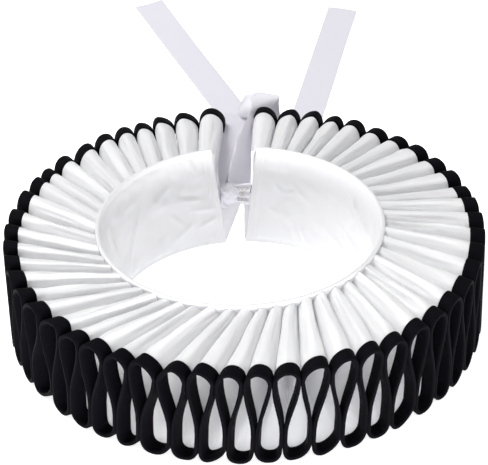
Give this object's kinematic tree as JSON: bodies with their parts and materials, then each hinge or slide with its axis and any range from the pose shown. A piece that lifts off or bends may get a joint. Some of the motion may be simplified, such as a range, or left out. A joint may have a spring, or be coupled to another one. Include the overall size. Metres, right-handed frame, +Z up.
{
  "type": "ruff collar",
  "caption": "Ruff collar: stiff white satin set in upright figure-eight pleats with a dark edge, round a neckband tied at the back with two ribbons.",
  "frame": {"origin": "middle of the footprint, on the surface that the collar stands on; the ring's axis is 122.7 mm in front of it, at y = -0.1227", "axes": "+Z up along the ring's axis; +Y to the back, where the neckband is open and the ribbons lie out; +X to the right of one who faces the collar's front from -Y"},
  "size_m": [0.2602, 0.5056, 0.0617],
  "materials": {
    "neckband_satin": "white lining satin, crumpled, glossy",
    "ruff_satin": "white duchess satin with soft lengthwise sheen",
    "black_trim": "soft matt black binding",
    "ribbon_satin": "smooth pale satin ribbon"
  },
  "bodies": {
    "root": {"neckband": "neckband_satin", "ruff_strip_1": "ruff_satin", "ruff_strip_2": "ruff_satin", "ruff_strip_3": "ruff_satin", "ruff_strip_4": "ruff_satin", "trim_1": "black_trim", "trim_2": "black_trim", "trim_3": "black_trim", "trim_4": "black_trim", "knot": "ribbon_satin", "tie_left": "ribbon_satin", "tie_right": "ribbon_satin", "tie_right_root": "ribbon_satin"}
  },
  "joints": []
}
